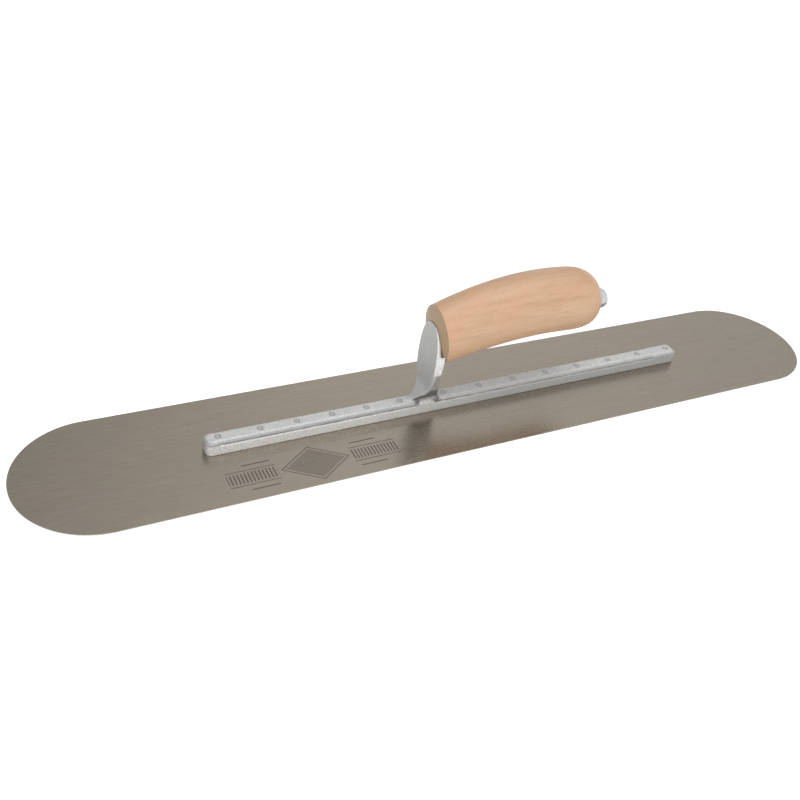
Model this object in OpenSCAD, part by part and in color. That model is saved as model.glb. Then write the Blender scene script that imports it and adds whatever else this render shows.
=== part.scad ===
// Round-ended steel finishing trowel with a long riveted mounting and a wooden handle.
// Millimetres. The blade lies flat on z = 0 with its middle at the origin.
// +X runs along the blade towards the butt of the handle, +Z is up.

/* [Blade] */
// Overall length of the blade
blade_length = 609.6; // [500:1:650]
// Width of the blade, which is also the diameter of its round ends
blade_width = 101.6; // [90:1:130]
// Thickness of the spring steel
blade_thickness = 0.7; // [0.5:0.1:1.2]

/* [Mounting bar] */
// Reach of the front arm from the middle of the blade
front_reach = 190.5; // [185:1:240]
// Reach of the rear arm from the middle of the blade
rear_reach = 183.5; // [180:1:240]
// Width of the flat flange that sits on the blade
flange_width = 12.2; // [11:0.2:16]
// Height of the flange's upper edge above the floor
flange_top = 7.8; // [5:0.1:8.5]
// Height of the rib's flat top above the floor
rib_top = 10.6; // [9.5:0.1:12]
// Width of the rib's flat top
rib_flat = 5.8; // [5:0.1:7]
// Width of the rib where it meets the flange
rib_width = 10.8; // [9:0.1:11]
// Radius of the bar's corners at its front tip, seen from above
front_tip_radius = 4.5; // [2:0.5:5]
// Radius of the bar's corners at its rear tip, seen from above
rear_tip_radius = 2.5; // [2:0.5:5]

/* [Shank] */
// Front face of the upright plate, ahead of the blade's middle
plate_face = 40; // [38:0.5:42]
// Radius of the bend from the front arm up into the plate
bend_radius = 14; // [10:1:16]
// Thickness of the plate in the bend
plate_thickness = 3.4; // [2.5:0.1:4.5]
// Height of the plate's round top above the floor
plate_top = 70.7; // [66:0.1:72]
// Greatest width of the plate
plate_width = 25.6; // [20:0.2:28]
// Height where the plate is widest
plate_waist = 42; // [40:0.5:44]
// Lower edge of the thick boss behind the plate
boss_bottom = 35; // [30:0.5:38]
// Upper edge of that boss, a ledge that the wood rests on
boss_top = 50; // [46:0.5:52]
// Rear face of that boss, ahead of the blade's middle
boss_rear = 32.8; // [32:0.1:34]
// Thickness of the web that braces the plate
web_thickness = 5.2; // [3:0.2:7]
// Rear edge of that web, ahead of the blade's middle
web_rear = 28; // [27.8:0.1:29]

/* [Handle] */
// Rise of the handle's axis, in degrees from level
handle_tilt = 8.8; // [7:0.1:10]
// Height of the handle's highest point
crown_height = 97.3; // [94:0.1:100]
// Position of that highest point along the blade
crown_place = 42; // [38:1:46]
// Height of the grip's underside under the crown
belly_height = 50; // [46:0.1:53]
// Half width of the grip at its front edge
front_half_width = 16.5; // [15:0.1:18]
// How far the middle of the front face stands ahead of its edge
front_crown = 2.6; // [1.5:0.1:3]
// Half width of the grip at its middle
middle_half_width = 18.5; // [16:0.1:21]
// Rearmost wood, behind the blade's middle
butt_place = 90; // [86:0.5:94]

/* [Fasteners] */
// Diameter of the threaded rod through the handle
stud_diameter = 7.94; // [6:0.01:9]
// Size of the nut across its flats
nut_flats = 12.7; // [11:0.1:14]
// Outside diameter of the washer
washer_diameter = 16; // [14.8:0.1:18]
// Thickness of the washer
washer_thickness = 1.6; // [1:0.1:2]
// Diameter of a rivet's shank
rivet_diameter = 4; // [3:0.1:4.5]
// Diameter of a rivet's countersunk head, flush under the blade
rivet_head = 6.4; // [5:0.1:7]

/* [Hidden] */
front_rivets = 6;
rear_rivets = 8;
front_rivet_start = -55.6;
front_rivet_pitch = 24.6;
front_rivet_last = -181.5;
rear_rivet_start = -21.7;
rear_rivet_pitch = 28.35;
RIVETS = front_rivets + rear_rivets;

function rivet_name(i) = str("rivet_", i < 9 ? "0" : "", i + 1);
// Rivets are counted from the front tip to the rear tip.
function rivet_place(i) =
    i == 0 ? front_rivet_last
    : i < front_rivets ? front_rivet_start - (front_rivets - 1 - i) * front_rivet_pitch
    : rear_rivet_start + (i - front_rivets) * rear_rivet_pitch;

ROUND = 96;
SMALL_ROUND = 48;
END_ROUND = 180;        // for the blade's ends
GAP = 0.2;              // working clearance around the stud and the spigot
MORE = 1;               // how far a cutting tool runs past the face it cuts

// The edge of the wood's front face leans back from the vertical by the handle's tilt.
slope = tan(handle_tilt);
face_x = -35;
face_z = 60;
// Where the handle's axis, at right angles to that face, passes through its plane.
seat_z = 49.24;
seat_x = face_x - slope * (seat_z - face_z);

spigot_diameter = 14;
spigot_length = 15;
socket_depth = 3.5;     // how far the stud's hole runs on into the boss
grip_length = 123;      // plane of the front edge to the washer's seat, along the axis
nut_length = 8.8;
nut_hex = 7;            // the nut's straight hexagon, before its low dome
nut_hole = 6.4;

boss_taper = 0.6;       // the boss's rear steps in by this much at its foot
boss_chamfer = 1.5;     // and is cut off below it at a slant of this height
web_floor = 6;          // the web is rooted at this height, inside the bar
web_slant = 7;          // height of the slant at the top of the web's rear
plate_foot = 12.3;      // the plate begins to widen at this height
flare_power = 2.3;      // how soon it gains its width above there
plate_power = 2.5;      // 2 gives the plate an elliptical top, more gives a blunter one
sink = 0.15;            // the bend is sunk this far into the rib's flat top
rib_gap_front = -43;    // the front arm's rib ends here, at the bend
rib_gap_rear = -27.5;   // the rear arm's rib begins here, with a round nose
tip_step = (flange_width - rib_width) / 2;   // the rib stops this far short of the flange

c_crown = 0.0024;       // how fast the grip's back falls away from its crown
c_belly = 0.0019;       // the same for its underside
belly_place = crown_place + 6;
belly_straight = 0;     // ahead of this place the underside runs straight
lean_run = 60;          // rings this far behind the front face no longer lean with it
swell_run = 80;         // length over which the grip widens from its front edge
round_start = 60;       // the butt's rounding begins here
round_power = 2.8;      // 2 gives an ellipse, more gives a blunter butt
land_share = 0.62;      // size of the flat in the middle of the wood's front face
butt_height = 66.5;     // height of the rearmost wood

// ---- blade ----

module stadium(length, width) {
    square([length - width, width], center = true);
    for (side = [-1, 1])
        translate([side * (length - width) / 2, 0])
            circle(d = width, $fn = END_ROUND);
}

module rivet_holes(bottom, top) {
    for (i = [0 : RIVETS - 1])
        translate([rivet_place(i), 0, bottom])
            cylinder(d = rivet_diameter, h = top - bottom, $fn = SMALL_ROUND);
}

module rivet_head_shape() {
    cylinder(d1 = rivet_head, d2 = rivet_diameter, h = blade_thickness, $fn = SMALL_ROUND);
}

module blade() {
    color([0.60, 0.57, 0.53])
        difference() {
            linear_extrude(blade_thickness)
                stadium(blade_length, blade_width);
            for (i = [0 : RIVETS - 1])
                translate([rivet_place(i), 0, 0])
                    rivet_head_shape();
        }
}

// ---- mounting: two arms, a bent plate, a boss and a web, cast in one ----

// A bar seen from above, with its four corners rounded.
module round_bar(x0, x1, width, radius) {
    translate([x0 + radius, -width / 2])
        square([x1 - x0 - 2 * radius, width]);
    translate([x0, -width / 2 + radius])
        square([x1 - x0, width - 2 * radius]);
    for (x = [x0 + radius, x1 - radius], side = [-1, 1])
        translate([x, side * (width / 2 - radius)])
            circle(r = radius, $fn = SMALL_ROUND);
}

// The rib's section: a flat top with a shoulder that steepens down to the flange.
module rib_section() {
    rise = rib_top - flange_top;
    run = (rib_width - rib_flat) / 2;
    steps = 6;
    shoulder = [for (i = [0 : steps]) let (a = 90 * i / steps)
        [rib_flat / 2 + run * sin(a), flange_top + rise * cos(a)]];
    mirrored = [for (i = [steps : -1 : 0]) [-shoulder[i][0], shoulder[i][1]]];
    polygon(concat(
        shoulder,
        [[rib_width / 2, flange_top - MORE], [-rib_width / 2, flange_top - MORE]],
        mirrored
    ));
}

// The rib seen from above: round beside the web, squarer at the bar's tip.
module rib_plan(x0, x1, tip_first) {
    long = tip_first ? [x0 + rib_width / 2, x1] : [x0, x1 - rib_width / 2];
    tip = tip_first ? [x0, x0 + 2 * rib_width] : [x1 - 2 * rib_width, x1];
    tip_radius = tip_first ? front_tip_radius : rear_tip_radius;
    round_bar(long[0], long[1], rib_width, rib_width / 2 - GAP);
    round_bar(tip[0], tip[1], rib_width, tip_radius - tip_step);
}

module rib(x0, x1, tip_first) {
    intersection() {
        translate([x0, 0, 0])
            rotate([90, 0, 90])
                linear_extrude(x1 - x0)
                    rib_section();
        translate([0, 0, flange_top - MORE])
            linear_extrude(rib_top)
                rib_plan(x0, x1, tip_first);
    }
}

module bar() {
    translate([0, 0, blade_thickness])
        linear_extrude(flange_top - blade_thickness) {
            round_bar(-front_reach, rear_reach - flange_width, flange_width, front_tip_radius);
            round_bar(flange_width - front_reach, rear_reach, flange_width, rear_tip_radius);
        }
    rib(-front_reach + tip_step, rib_gap_front, true);
    rib(rib_gap_rear, rear_reach - tip_step, false);
}

// Half width of the plate at a height, from the narrow bend to the round top.
function plate_half(z) =
    let (narrow = rib_flat / 2 - 2 * sink, wide = plate_width / 2)
    z <= plate_foot ? narrow
    : z < plate_waist ? let (u = (z - plate_foot) / (plate_waist - plate_foot))
        narrow + (wide - narrow) * (1 - pow(1 - u, flare_power))
    : let (u = (z - plate_waist) / (plate_top - plate_waist))
        wide * pow(max(0, 1 - pow(u, plate_power)), 1 / plate_power);

// The plate seen from the front.
module plate_front() {
    low = [for (i = [0 : 24]) web_floor + (plate_waist - web_floor) * i / 24];
    high = [for (i = [1 : 24]) plate_waist + (plate_top - plate_waist) * sin(90 * i / 24)];
    heights = concat(low, high);
    last = len(heights) - 1;
    polygon(concat(
        [for (z = heights) [plate_half(z), z]],
        [for (i = [last - 1 : -1 : 0]) [-plate_half(heights[i]), heights[i]]]
    ));
}

module across(width) {
    translate([0, width / 2, 0])
        rotate([90, 0, 0])
            linear_extrude(width)
                children();
}

module seen_from_front() {
    translate([-plate_face - 2 * bend_radius, 0, 0])
        rotate([90, 0, 90])
            linear_extrude(3 * bend_radius + plate_face)
                plate_front();
}

// x of the flat in the middle of the wood's front face, at a height
function land_at(z) = face_x - front_crown - slope * (z - face_z);

bend_x = -plate_face - bend_radius;
bend_z = rib_top + bend_radius - sink;
function bend_points(radius) =
    [for (a = [-90 : 7.5 : 0]) [bend_x + radius * cos(a), bend_z + radius * sin(a)]];

// Side view of the plate and its boss: a quarter bend, then straight up in front. The
// rear follows the wood above the ledge, so the plate thins to an edge at its top.
module plate_side() {
    inner = bend_points(bend_radius);
    outer = bend_points(bend_radius + plate_thickness);
    polygon(concat(
        inner,
        [
            [-plate_face, plate_top],
            [land_at(plate_top), plate_top],
            [land_at(boss_top), boss_top],
            [-boss_rear, boss_top],
            [-boss_rear - boss_taper, boss_bottom + boss_chamfer],
            [-boss_rear - boss_chamfer, boss_bottom],
            [-plate_face + plate_thickness, boss_bottom - boss_taper]
        ],
        [for (i = [len(outer) - 1 : -1 : 0]) outer[i]]
    ));
}

// Side view of the web: under the boss and behind the bend, down into the bar.
module web() {
    front = bend_points(bend_radius + MORE);
    across(web_thickness)
        polygon(concat(
            [[bend_x + bend_radius / 2, web_floor]],
            [for (i = [5 : len(front) - 1]) front[i]],
            [
                [-plate_face + MORE, boss_bottom + MORE],
                [-boss_rear - MORE, boss_bottom + MORE],
                [-web_rear, boss_bottom - web_slant],
                [-web_rear, rib_top + MORE],
                [rib_gap_rear + MORE, rib_top - MORE],
                [rib_gap_rear + MORE, web_floor]
            ]
        ));
}

// Moves a child from the origin, standing along +Z, onto the handle's axis.
module on_axis(along = 0) {
    translate([seat_x, 0, seat_z])
        rotate([0, 90 - handle_tilt, 0])
            translate([0, 0, along])
                children();
}

module mounting() {
    color([0.78, 0.79, 0.79])
        difference() {
            union() {
                bar();
                intersection() {
                    across(plate_width + 2)
                        plate_side();
                    seen_from_front();
                }
                web();
                on_axis(-socket_depth)
                    cylinder(d = spigot_diameter, h = socket_depth + spigot_length, $fn = ROUND);
            }
            rivet_holes(blade_thickness - MORE, rib_top + MORE);
            on_axis(-socket_depth)
                cylinder(d = stud_diameter, h = socket_depth + spigot_length + MORE, $fn = ROUND);
        }
}

// ---- handle ----

// Height where the line x = s - m (z - face_z) meets a curve that has its
// extreme height h at x = place and falls away from there by c per mm squared.
function meet(h, place, c, s, m) =
    let (
        d = s - place,
        a = c * m * m,
        b = 1 - 2 * c * d * m,
        k = c * d * d - (h - face_z)
    )
    face_z - 2 * k / (b + sqrt(b * b - 4 * a * k));

// Height of the grip's underside, which runs straight ahead of belly_straight.
function underside(s, m) =
    let (
        curved = meet(belly_height, belly_place, c_belly, s, m),
        reach = belly_place - belly_straight,
        rise = 2 * c_belly * reach,
        start = belly_height - c_belly * reach * reach
    )
    s - m * (curved - face_z) >= belly_straight ? curved
    : (start + rise * (s + m * face_z - belly_straight)) / (1 + m * rise);

function closing(s) =
    s <= round_start ? 1
    : pow(1 - pow((s - round_start) / (butt_place - round_start), round_power), 1 / round_power);

function grip_half(s) =
    let (t = min(1, max(0, (s - face_x) / swell_run)))
    front_half_width + (middle_half_width - front_half_width) * sin(90 * t);

// One oval ring of the grip. Rings near the front lean with the front face. A share
// under 1 draws the ring in around its middle, and ahead moves it forwards.
function grip_ring(s, count, share = 1, ahead = 0) =
    let (
        lean = slope * min(1, max(0, 1 - (s - face_x) / lean_run)),
        top = meet(crown_height, crown_place, c_crown, s, lean),
        low = underside(s, lean),
        close = closing(s),
        shut_top = butt_height + (top - butt_height) * close,
        shut_low = butt_height + (low - butt_height) * close,
        middle = (shut_top + shut_low) / 2,
        tall = (shut_top - shut_low) / 2 * share,
        wide = grip_half(s) * close * share
    )
    [for (i = [0 : count - 1]) let (
        a = 360 * i / count,
        z = middle + tall * cos(a)
    ) [s - lean * (z - face_z) - ahead, wide * sin(a), z]];

module grip_solid() {
    count = 36;
    straight = 14;
    round = 10;
    places = concat(
        [for (i = [0 : straight]) face_x + (round_start - face_x) * i / straight],
        [for (i = [1 : round]) round_start + (butt_place - round_start) * sin(88.5 * i / round)]
    );
    rings = concat(
        [grip_ring(face_x, count, land_share, front_crown)],
        [for (s = places) grip_ring(s, count)]
    );
    last = len(rings) - 1;
    points = [for (ring = rings) for (p = ring) p];
    faces = concat(
        [[for (i = [0 : count - 1]) i]],
        [for (r = [0 : last - 1]) for (i = [0 : count - 1]) let (
            j = (i + 1) % count,
            a = r * count,
            b = a + count
        ) each [[a + j, a + i, b + i], [a + j, b + i, b + j]]],
        [[for (i = [count - 1 : -1 : 0]) last * count + i]]
    );
    polyhedron(points = points, faces = faces, convexity = 4);
}

module handle() {
    color([0.85, 0.68, 0.51])
        difference() {
            grip_solid();
            // the notch that sits on the boss's ledge
            translate([-boss_rear + GAP / 2 - boss_top, -blade_width / 2, 0])
                cube([boss_top, blade_width, boss_top]);
            on_axis(-2 * front_crown)
                cylinder(
                    d = spigot_diameter + GAP,
                    h = 2 * front_crown + spigot_length + MORE,
                    $fn = ROUND
                );
            on_axis()
                cylinder(d = stud_diameter + 2 * GAP, h = grip_length, $fn = ROUND);
            on_axis(grip_length)
                cylinder(d = washer_diameter + 4 * GAP, h = washer_diameter, $fn = ROUND);
        }
}

// ---- the handle's fasteners ----

module handle_stud() {
    color([0.55, 0.56, 0.58])
        on_axis(-socket_depth)
            cylinder(
                d = stud_diameter,
                h = socket_depth + grip_length + washer_thickness + nut_hole - MORE,
                $fn = ROUND
            );
}

module washer() {
    color([0.72, 0.74, 0.76])
        on_axis(grip_length)
            difference() {
                cylinder(d = washer_diameter, h = washer_thickness, $fn = ROUND);
                translate([0, 0, -MORE])
                    cylinder(d = stud_diameter + 2 * GAP, h = washer_thickness + 2 * MORE, $fn = ROUND);
            }
}

// A closed nut: a hexagon with a low dome.
module cap_nut() {
    corners = nut_flats / cos(30);
    dome = nut_length - nut_hex;
    half = nut_flats / 2 - GAP;
    dome_radius = (half * half + dome * dome) / (2 * dome);
    color([0.78, 0.81, 0.83])
        on_axis(grip_length + washer_thickness)
            difference() {
                union() {
                    cylinder(d = corners, h = nut_hex, $fn = 6);
                    intersection() {
                        translate([0, 0, nut_length - dome_radius])
                            sphere(r = dome_radius, $fn = ROUND);
                        translate([0, 0, nut_hex - MORE])
                            cylinder(r = half, h = dome + 2 * MORE, $fn = ROUND);
                    }
                }
                translate([0, 0, -MORE])
                    cylinder(d = stud_diameter, h = nut_hole + MORE, $fn = ROUND);
            }
}

// ---- rivets ----

module rivet(i) {
    color([0.62, 0.62, 0.62])
        translate([rivet_place(i), 0, 0]) {
            rivet_head_shape();
            translate([0, 0, blade_thickness])
                cylinder(d = rivet_diameter, h = rib_top - blade_thickness, $fn = SMALL_ROUND);
        }
}

blade();
mounting();
handle();
handle_stud();
washer();
cap_nut();
for (i = [0 : RIVETS - 1])
    rivet(i);
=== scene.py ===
"""Looks of a round-ended steel finishing trowel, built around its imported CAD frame.

Shapes are worked out in millimetres in the frame's own axes (+X towards the butt of
the handle, +Y across the blade, +Z up) and become metres when a mesh is made.
"""

import math

import bmesh
import bpy
from mathutils import Matrix, Vector, noise


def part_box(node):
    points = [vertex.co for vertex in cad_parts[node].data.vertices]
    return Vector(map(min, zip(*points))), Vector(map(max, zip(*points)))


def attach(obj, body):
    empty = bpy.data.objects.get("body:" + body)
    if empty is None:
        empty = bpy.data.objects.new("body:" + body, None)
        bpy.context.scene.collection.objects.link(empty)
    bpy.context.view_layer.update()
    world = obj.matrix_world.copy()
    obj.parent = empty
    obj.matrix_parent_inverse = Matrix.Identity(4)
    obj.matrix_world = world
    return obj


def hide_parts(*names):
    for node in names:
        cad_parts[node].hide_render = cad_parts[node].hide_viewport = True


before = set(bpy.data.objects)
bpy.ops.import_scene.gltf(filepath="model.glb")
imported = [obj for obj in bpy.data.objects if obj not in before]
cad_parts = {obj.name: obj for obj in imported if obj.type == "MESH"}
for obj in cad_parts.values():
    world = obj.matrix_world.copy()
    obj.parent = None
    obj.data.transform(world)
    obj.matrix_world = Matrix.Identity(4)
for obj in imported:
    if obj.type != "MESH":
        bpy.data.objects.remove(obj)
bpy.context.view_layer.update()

BODY = "root"
MM = 0.001


# ---------------------------------------------------------------- driving sizes, mm


def node_box(node):
    """Lowest and highest corner of a CAD node, in millimetres."""
    return [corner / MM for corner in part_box(node)]


BLADE_LOW, BLADE_HIGH = node_box("blade")
BLADE_TOP = BLADE_HIGH.z
BAR_LOW, BAR_HIGH = node_box("mounting")
RIVETS = sorted(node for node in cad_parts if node.startswith("rivet_"))
RIB_TOP = node_box(RIVETS[0])[1].z
RIVET_RADIUS = 2.0
RIVET_HEAD = 3.2

# The bar: a flange, and on each arm a rib with a groove under its edge.
FLANGE_WIDTH = 12.2
FLANGE_TOP = 7.8
RIB_WIDTH = 10.8
RIB_FLAT = 5.8
FRONT_TIP_RADIUS = 4.5
REAR_TIP_RADIUS = 2.5
GROOVE_ENDS = (-179.0, 160.0)
RIB_FOOT = 0.75  # depth of the groove under the rib's edge
SHOULDER_STEPS = 7
RIB_GAP = (-43.0, -27.5)  # the ribs stop here, on both sides of the web
SILL = 2.7  # height of the low ridges in that gap
SILL_ENDS = (-45.6, -29.4)
SILL_CREST = (-41.4, -33.4)

# The upright plate, the boss behind it and the web under the boss.
PLATE_FACE = -40.0
PLATE_TOP = 70.4
PLATE_WAIST = 42.0
PLATE_FOOT = 12.3
PLATE_HALF = 12.7
PLATE_POWER = 2.4  # 2 gives an elliptical top, more gives a blunter one
FLARE_POWER = 2.3  # how soon the plate gains its width above its foot
PLATE_THICKNESS = 3.4
BEND_RADIUS = 14.0
BEND_X = PLATE_FACE - BEND_RADIUS
BEND_Z = RIB_TOP + BEND_RADIUS
BOSS_TOP = 50.0
BOSS_BOTTOM = 35.0
BOSS_REAR = -32.8
WEB_HALF = 2.6
WEB_REAR = -28.0
FUSE = 1.2  # how far the boss and the web run into the parts beside them

# The casting's skin.
VOXEL = 0.42
LUMP_SIZE = 2.6
LUMP_HEIGHT = 0.07
KEPT_SHARE = 0.4  # share of the fine grid's faces that stay

# The grip.
TILT = math.radians(8.8)
SLOPE = math.tan(TILT)
FACE_X = -35.0
FACE_Z = 60.0
FACE_CROWN = 2.6  # how far the flat in the face's middle stands ahead of its edge
LAND_SHARE = 0.62  # size of that flat, as a share of the face
CROWN_HEIGHT = 97.3
CROWN_PLACE = 42.0
CROWN_FALL = 0.0024  # how fast the back falls away from its crown
BELLY_HEIGHT = 50.0
BELLY_PLACE = 48.0
BELLY_FALL = 0.0019
BELLY_STRAIGHT = 0.0  # the underside runs straight ahead of this
FRONT_HALF = 16.5
MIDDLE_HALF = 18.5
BUTT_X = 90.0
BUTT_Z = 66.5
ROUND_START = 60.0
ROUND_POWER = 2.8
LEAN_RUN = 60.0  # sections lean ever less over this distance
SWELL_RUN = 80.0  # the grip widens over this distance
GRIP_POINTS = 96

# The handle's axis and what lies on it.
SEAT_Z = 49.24
SEAT_X = FACE_X - SLOPE * (SEAT_Z - FACE_Z)
GRIP_LENGTH = 123.0
STUD_DIAMETER = 7.94
SPIGOT_DIAMETER = 14.0
SPIGOT_LENGTH = 15.0
SOCKET_DEPTH = 3.5
WASHER_DIAMETER = 16.0
WASHER_THICKNESS = 1.6
NUT_FLATS = 12.7
NUT_LENGTH = 8.8
NUT_HEX = 7.0

# Brightness of the surround, high up, at its far left and far right.
DIM_LEFT = 0.22
DIM_RIGHT = 0.62


# ---------------------------------------------------------------- mesh helpers


def add_object(name, bm):
    """A mesh object, in metres, from a bmesh drawn in millimetres."""
    bmesh.ops.recalc_face_normals(bm, faces=bm.faces)
    bmesh.ops.scale(bm, vec=(MM, MM, MM), verts=bm.verts)
    mesh = bpy.data.meshes.new(name)
    bm.to_mesh(mesh)
    bm.free()
    piece = bpy.data.objects.new(name, mesh)
    bpy.context.scene.collection.objects.link(piece)
    return piece


def shade(piece, sharp_angle):
    """Smooth shading, broken along edges that turn by more than sharp_angle degrees."""
    limit = math.radians(sharp_angle)
    bm = bmesh.new()
    bm.from_mesh(piece.data)
    for face in bm.faces:
        face.smooth = True
    for edge in bm.edges:
        turn = edge.calc_face_angle(0.0) if len(edge.link_faces) == 2 else math.pi
        edge.smooth = turn < limit
    bm.to_mesh(piece.data)
    bm.free()
    return piece


def ring_verts(bm, points):
    """One new vertex at each point."""
    return [bm.verts.new(p) for p in points]


def bridge(bm, lower, upper):
    """Quads between two rings that have the same number of vertices."""
    count = len(lower)
    for i in range(count):
        j = (i + 1) % count
        bm.faces.new((lower[i], lower[j], upper[j], upper[i]))


def loft_into(bm, rings):
    """A closed skin over a list of rings of points."""
    loops = [ring_verts(bm, ring) for ring in rings]
    for lower, upper in zip(loops, loops[1:]):
        bridge(bm, lower, upper)
    bm.faces.new(reversed(loops[0]))
    bm.faces.new(loops[-1])


def full_turn(steps):
    """Angles all the way round, in radians."""
    return [2 * math.pi * i / steps for i in range(steps)]


def lathe_into(bm, profile, steps):
    """A solid of revolution about Z. The profile's first and last points are on the axis."""
    bottom = bm.verts.new((0, 0, profile[0][1]))
    top = bm.verts.new((0, 0, profile[-1][1]))
    loops = [
        ring_verts(bm, [(r * math.cos(a), r * math.sin(a), z) for a in full_turn(steps)])
        for r, z in profile[1:-1]
    ]
    for lower, upper in zip(loops, loops[1:]):
        bridge(bm, lower, upper)
    for i in range(steps):
        j = (i + 1) % steps
        bm.faces.new((bottom, loops[0][j], loops[0][i]))
        bm.faces.new((top, loops[-1][i], loops[-1][j]))


def ring_lathe_into(bm, profile, steps):
    """A ring about Z: the profile is a closed loop that stays off the axis."""
    loops = [
        ring_verts(bm, [(r * math.cos(a), r * math.sin(a), z) for r, z in profile])
        for a in full_turn(steps)
    ]
    for i in range(steps):
        bridge(bm, loops[i], loops[(i + 1) % steps])


def prism_into(bm, outline, half):
    """An outline in the X-Z plane, extruded to y = -half and +half."""
    loft_into(bm, [[(x, side * half, z) for x, z in outline] for side in (-1, 1)])


def on_axis(along=0.0):
    """Matrix that stands the Z axis along the handle's axis."""
    turn = Matrix.Rotation(math.pi / 2 - TILT, 4, "Y")
    return Matrix.Translation((SEAT_X, 0, SEAT_Z)) @ turn @ Matrix.Translation((0, 0, along))


def rod_into(bm, radius, start, end, steps):
    """A plain rod along the handle's axis, whatever else the bmesh holds."""
    others = len(bm.verts)
    lathe_into(bm, [(0, start), (radius, start), (radius, end), (0, end)], steps)
    bmesh.ops.transform(bm, matrix=on_axis(), verts=list(bm.verts)[others:])


def axis_rod(radius, start, end):
    """A plain cutting rod along the handle's axis."""
    bm = bmesh.new()
    rod_into(bm, radius, start, end, 96)
    return add_object("cutter", bm)


def cut(piece, cutter):
    """Takes the cutter's volume out of the piece and removes the cutter."""
    modifier = piece.modifiers.new("cut", "BOOLEAN")
    modifier.operation = "DIFFERENCE"
    modifier.solver = "EXACT"
    modifier.object = cutter
    apply_modifiers(piece)
    bpy.data.objects.remove(cutter, do_unlink=True)


def apply_modifiers(piece):
    """Makes the modifiers' result the piece's own mesh."""
    graph = bpy.context.evaluated_depsgraph_get()
    graph.update()
    mesh = bpy.data.meshes.new_from_object(piece.evaluated_get(graph))
    piece.modifiers.clear()
    old = piece.data
    piece.data = mesh
    bpy.data.meshes.remove(old)


def settle(piece, node):
    """The piece rides on the tool and stands for the CAD node."""
    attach(piece, BODY)
    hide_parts(node)


# ---------------------------------------------------------------- blade


def stadium_points(inset):
    """The blade's outline, drawn in by inset, as two half circles."""
    end_radius = (BLADE_HIGH.y - BLADE_LOW.y) / 2
    reach = BLADE_HIGH.x - end_radius
    radius = end_radius - inset
    steps = 96
    points = []
    for side, start in ((1, -90), (-1, 90)):
        for i in range(steps + 1):
            a = math.radians(start + 180 * i / steps)
            points.append((side * reach + radius * math.cos(a), radius * math.sin(a)))
    return points


def circle_points(x, radius, steps):
    """A circle round a place on the blade's middle line."""
    return [(x + radius * math.cos(a), radius * math.sin(a)) for a in full_turn(steps)]


def rivet_x(node):
    """Where a rivet stands along the blade."""
    low, high = node_box(node)
    return (low.x + high.x) / 2


def fill_flat(bm, loops):
    """Fills the area between an outer loop and the loops of its holes."""
    edges = []
    for loop in loops:
        for pair in zip(loop, loop[1:] + loop[:1]):
            edges.append(bm.edges.get(pair) or bm.edges.new(pair))
    bmesh.ops.triangle_fill(bm, use_beauty=True, use_dissolve=False, edges=edges)


def build_blade():
    """Thin sheet with softened edges and a countersunk hole under every rivet."""
    soft = 0.16
    steps = 48
    bm = bmesh.new()
    levels = ((soft, 0), (0, soft), (0, BLADE_TOP - soft), (soft, BLADE_TOP))
    rims = [ring_verts(bm, [(x, y, z) for x, y in stadium_points(inset)]) for inset, z in levels]
    for lower, upper in zip(rims, rims[1:]):
        bridge(bm, lower, upper)
    floors, tops = [], []
    for node in RIVETS:
        x = rivet_x(node)
        wide = circle_points(x, RIVET_HEAD + 0.1, steps)
        narrow = circle_points(x, RIVET_RADIUS + 0.02, steps)
        floor = ring_verts(bm, [(px, py, 0) for px, py in wide])
        top = ring_verts(bm, [(px, py, BLADE_TOP) for px, py in narrow])
        bridge(bm, floor, top)
        floors.append(floor)
        tops.append(top)
    fill_flat(bm, [rims[0]] + floors)
    fill_flat(bm, [rims[-1]] + tops)
    return shade(add_object("blade_sheet", bm), 20)


# ---------------------------------------------------------------- mounting


def bar_outline(x0, x1, half, radii, steps=8):
    """A long bar seen from above. Its front and rear corners have their own radii."""
    front, rear = (min(radius, half - 0.05) for radius in radii)
    corners = (
        (x1 - rear, -half + rear, rear, -90),
        (x1 - rear, half - rear, rear, 0),
        (x0 + front, half - front, front, 90),
        (x0 + front, -half + front, front, 180),
    )
    points = []
    for cx, cy, radius, start in corners:
        for i in range(steps + 1):
            a = math.radians(start + 90 * i / steps)
            points.append((cx + radius * math.cos(a), cy + radius * math.sin(a)))
    return points


def bar_levels_into(bm, x0, x1, half, radii, levels):
    """A bar built of outlines at several heights, each drawn in by its own inset."""
    rings = []
    for z, inset in levels:
        drawn_in = [radius - 0.5 * inset for radius in radii]
        outline = bar_outline(x0 + inset, x1 - inset, half - inset, drawn_in)
        rings.append([(x, y, z) for x, y in outline])
    loft_into(bm, rings)


def flange_into(bm):
    """The bar's lower part, with softened upper edges."""
    levels = ((BLADE_TOP + 0.02, 0.0), (2.0, 0.0), (FLANGE_TOP - 0.7, 0.1), (FLANGE_TOP, 0.5))
    radii = (FRONT_TIP_RADIUS, REAR_TIP_RADIUS)
    bar_levels_into(bm, BAR_LOW.x, BAR_HIGH.x, FLANGE_WIDTH / 2, radii, levels)


def shoulder_levels(foot, run):
    """Heights and insets of a quarter curve, from a height up to the rib's flat top."""
    angles = [math.radians(90 * i / SHOULDER_STEPS) for i in range(1, SHOULDER_STEPS + 1)]
    return [(foot + (RIB_TOP - foot) * math.sin(a), run * (1 - math.cos(a))) for a in angles]


def rib_into(bm, x0, x1):
    """The rib on an arm: a narrow foot, which leaves a groove, a shoulder and a flat top."""
    half = RIB_WIDTH / 2
    lip = FLANGE_TOP + 0.4
    levels = [(FLANGE_TOP - 1.0, RIB_FOOT), (FLANGE_TOP + 0.15, RIB_FOOT), (lip, 0.0)]
    levels += shoulder_levels(lip, half - RIB_FLAT / 2)
    bar_levels_into(bm, x0, x1, half, (half, half), levels)


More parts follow.
